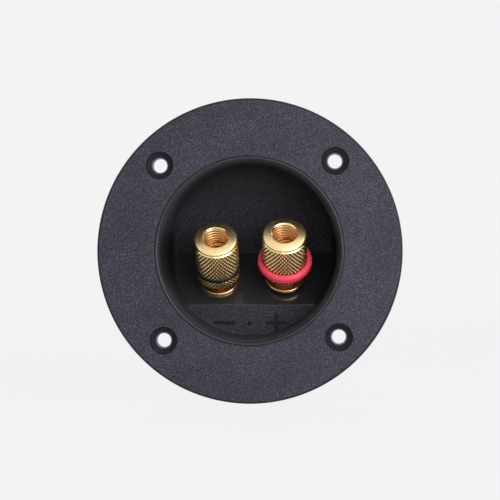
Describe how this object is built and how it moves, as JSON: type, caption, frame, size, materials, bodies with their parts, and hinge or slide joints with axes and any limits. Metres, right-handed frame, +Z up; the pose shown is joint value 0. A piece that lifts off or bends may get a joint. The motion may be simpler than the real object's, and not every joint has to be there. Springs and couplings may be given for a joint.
{
  "type": "speaker terminal cup",
  "caption": "Round recessed speaker terminal cup: a flanged plastic well with slanted gold-plated binding posts, knurled thumb nuts, colour rings and rear solder lugs.",
  "frame": {"origin": "centre of the flange's rear face, which seats on the panel", "axes": "+Y into the panel, +Z up, +X to the red post's side; the front faces -Y"},
  "size_m": [0.1, 0.048, 0.1],
  "materials": {
    "cup_plastic": "grained moulded plastic",
    "gold_plate": "bright gold plating on turned brass",
    "black_ring": "smooth",
    "red_ring": "smooth gloss"
  },
  "bodies": {
    "base": {"cup": "cup_plastic", "red_insulator": "black_ring", "black_post": "gold_plate", "black_flat_washer": "gold_plate", "black_spring_washer": "gold_plate", "black_clamp_nut": "gold_plate", "black_solder_lug": "gold_plate", "black_lock_nut": "gold_plate", "red_post": "gold_plate", "red_flat_washer": "gold_plate", "red_spring_washer": "gold_plate", "red_clamp_nut": "gold_plate", "red_solder_lug": "gold_plate", "red_lock_nut": "gold_plate"},
    "black_ring": {"black_ring": "black_ring"},
    "black_nut": {"black_thumb_nut": "gold_plate"},
    "red_ring": {"red_ring": "red_ring"},
    "red_nut": {"red_thumb_nut": "gold_plate"}
  },
  "joints": [
    {"name": "black_nut_lift", "type": "slide", "parent": "base", "child": "black_ring", "axis": [0, -0.766, 0.6428], "range_m": [-0.00237, 0.00867]},
    {"name": "black_nut_turn", "type": "hinge", "parent": "black_ring", "child": "black_nut", "pos_m": [-0.0115, 0.0215, -0.0101], "axis": [0, -0.766, 0.6428], "range_deg": [-676.8, 2491.2]},
    {"name": "red_nut_lift", "type": "slide", "parent": "base", "child": "red_ring", "axis": [0, -0.766, 0.6428], "range_m": [-0.00297, 0.00807]},
    {"name": "red_nut_turn", "type": "hinge", "parent": "red_ring", "child": "red_nut", "pos_m": [0.0115, 0.02027, -0.00907], "axis": [0, -0.766, 0.6428], "range_deg": [-849.6, 2318.4]}
  ],
  "couplings": [
    {"joint": "black_nut_lift", "follows": "black_nut_turn", "m_per_rad": 0.00019894},
    {"joint": "red_nut_lift", "follows": "red_nut_turn", "m_per_rad": 0.00019894}
  ]
}
